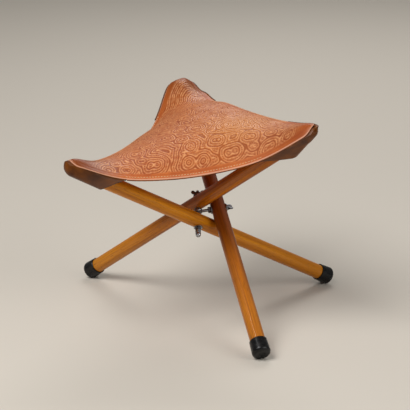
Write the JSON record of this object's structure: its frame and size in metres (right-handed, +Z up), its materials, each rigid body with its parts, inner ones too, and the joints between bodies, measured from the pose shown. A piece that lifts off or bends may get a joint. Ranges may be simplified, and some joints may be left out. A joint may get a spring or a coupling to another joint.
{
  "type": "folding tripod stool",
  "caption": "Folding tripod stool: crossed round wooden legs bolted at a hub, rubber ferrules and a hanging triangular seat of tooled leather held by corner pockets.",
  "frame": {"origin": "middle of the bounding box in plan, on the floor under the feet", "axes": "+Z up, +X to the right and +Y to the back as seen from the front, between the left and right seat corners"},
  "size_m": [0.4812, 0.5324, 0.3839],
  "materials": {
    "honey_wood": "glossy varnish",
    "dark_wood": "glossy varnish",
    "black_rubber": "smooth, slightly shiny",
    "zinc_steel": "zinc plated",
    "dark_steel": "dulled plating",
    "tooled_leather": "tooled, waxed",
    "dark_leather": "smooth, waxed",
    "waxed_thread": "waxed thread"
  },
  "bodies": {
    "hub_and_seat": {"edge_strip_front": "dark_leather", "edge_strip_left": "dark_leather", "edge_strip_right": "dark_leather", "eye_bolt": "zinc_steel", "eye_inner_nut": "dark_steel", "eye_inner_washer": "zinc_steel", "eye_outer_washer": "zinc_steel", "eye_washer_lower": "zinc_steel", "eye_washer_upper": "zinc_steel", "head_washer": "zinc_steel", "main_bolt": "zinc_steel", "main_cap_nut": "zinc_steel", "main_lock_nut": "dark_steel", "nut_washer": "zinc_steel", "seat_panel": "tooled_leather"},
    "left_leg": {"ferrule_disc_left": "zinc_steel", "ferrule_left": "black_rubber", "leg_left": "honey_wood", "pocket_left": "dark_leather"},
    "right_leg": {"ferrule_disc_right": "zinc_steel", "ferrule_right": "black_rubber", "leg_right": "honey_wood", "pocket_right": "dark_leather"},
    "back_leg": {"ferrule_back": "black_rubber", "ferrule_disc_back": "zinc_steel", "leg_back": "dark_wood", "pocket_back": "dark_leather"},
    "main_nut": {"main_wing_nut": "dark_steel"},
    "eye_nut": {"eye_wing_nut": "dark_steel"}
  },
  "joints": [
    {"name": "left_leg_fold", "type": "hinge", "parent": "hub_and_seat", "child": "left_leg", "pos_m": [-0.01487, -0.00899, 0.17318], "axis": [-0.0051, 0.7313, 0.682], "range_deg": [0, 46], "deforming": ["edge_strip_front", "edge_strip_left", "edge_strip_right", "seat_panel", "pocket_left"]},
    {"name": "right_leg_fold", "type": "hinge", "parent": "hub_and_seat", "child": "right_leg", "pos_m": [-0.01506, 0.0185, 0.19882], "axis": [-0.0051, 0.7313, 0.682], "range_deg": [-31.07, 0], "deforming": ["pocket_right"]},
    {"name": "back_leg_fold", "type": "hinge", "parent": "hub_and_seat", "child": "back_leg", "pos_m": [0.02264, 0.01233, 0.18922], "axis": [0.9769, 0.1968, 0.0836], "range_deg": [0, 88.33], "deforming": ["pocket_back"]},
    {"name": "main_wing_nut_turn", "type": "hinge", "parent": "hub_and_seat", "child": "main_nut", "pos_m": [-0.01514, 0.02932, 0.20891], "axis": [-0.0051, 0.7313, 0.682], "continuous": true},
    {"name": "eye_wing_nut_turn", "type": "hinge", "parent": "hub_and_seat", "child": "eye_nut", "pos_m": [0.0371, 0.01524, 0.19046], "axis": [0.9769, 0.1968, 0.0836], "continuous": true}
  ],
  "couplings": [
    {"joint": "right_leg_fold", "follows": "left_leg_fold", "ratio": -0.67336},
    {"joint": "back_leg_fold", "follows": "left_leg_fold", "ratio": 1.918}
  ]
}
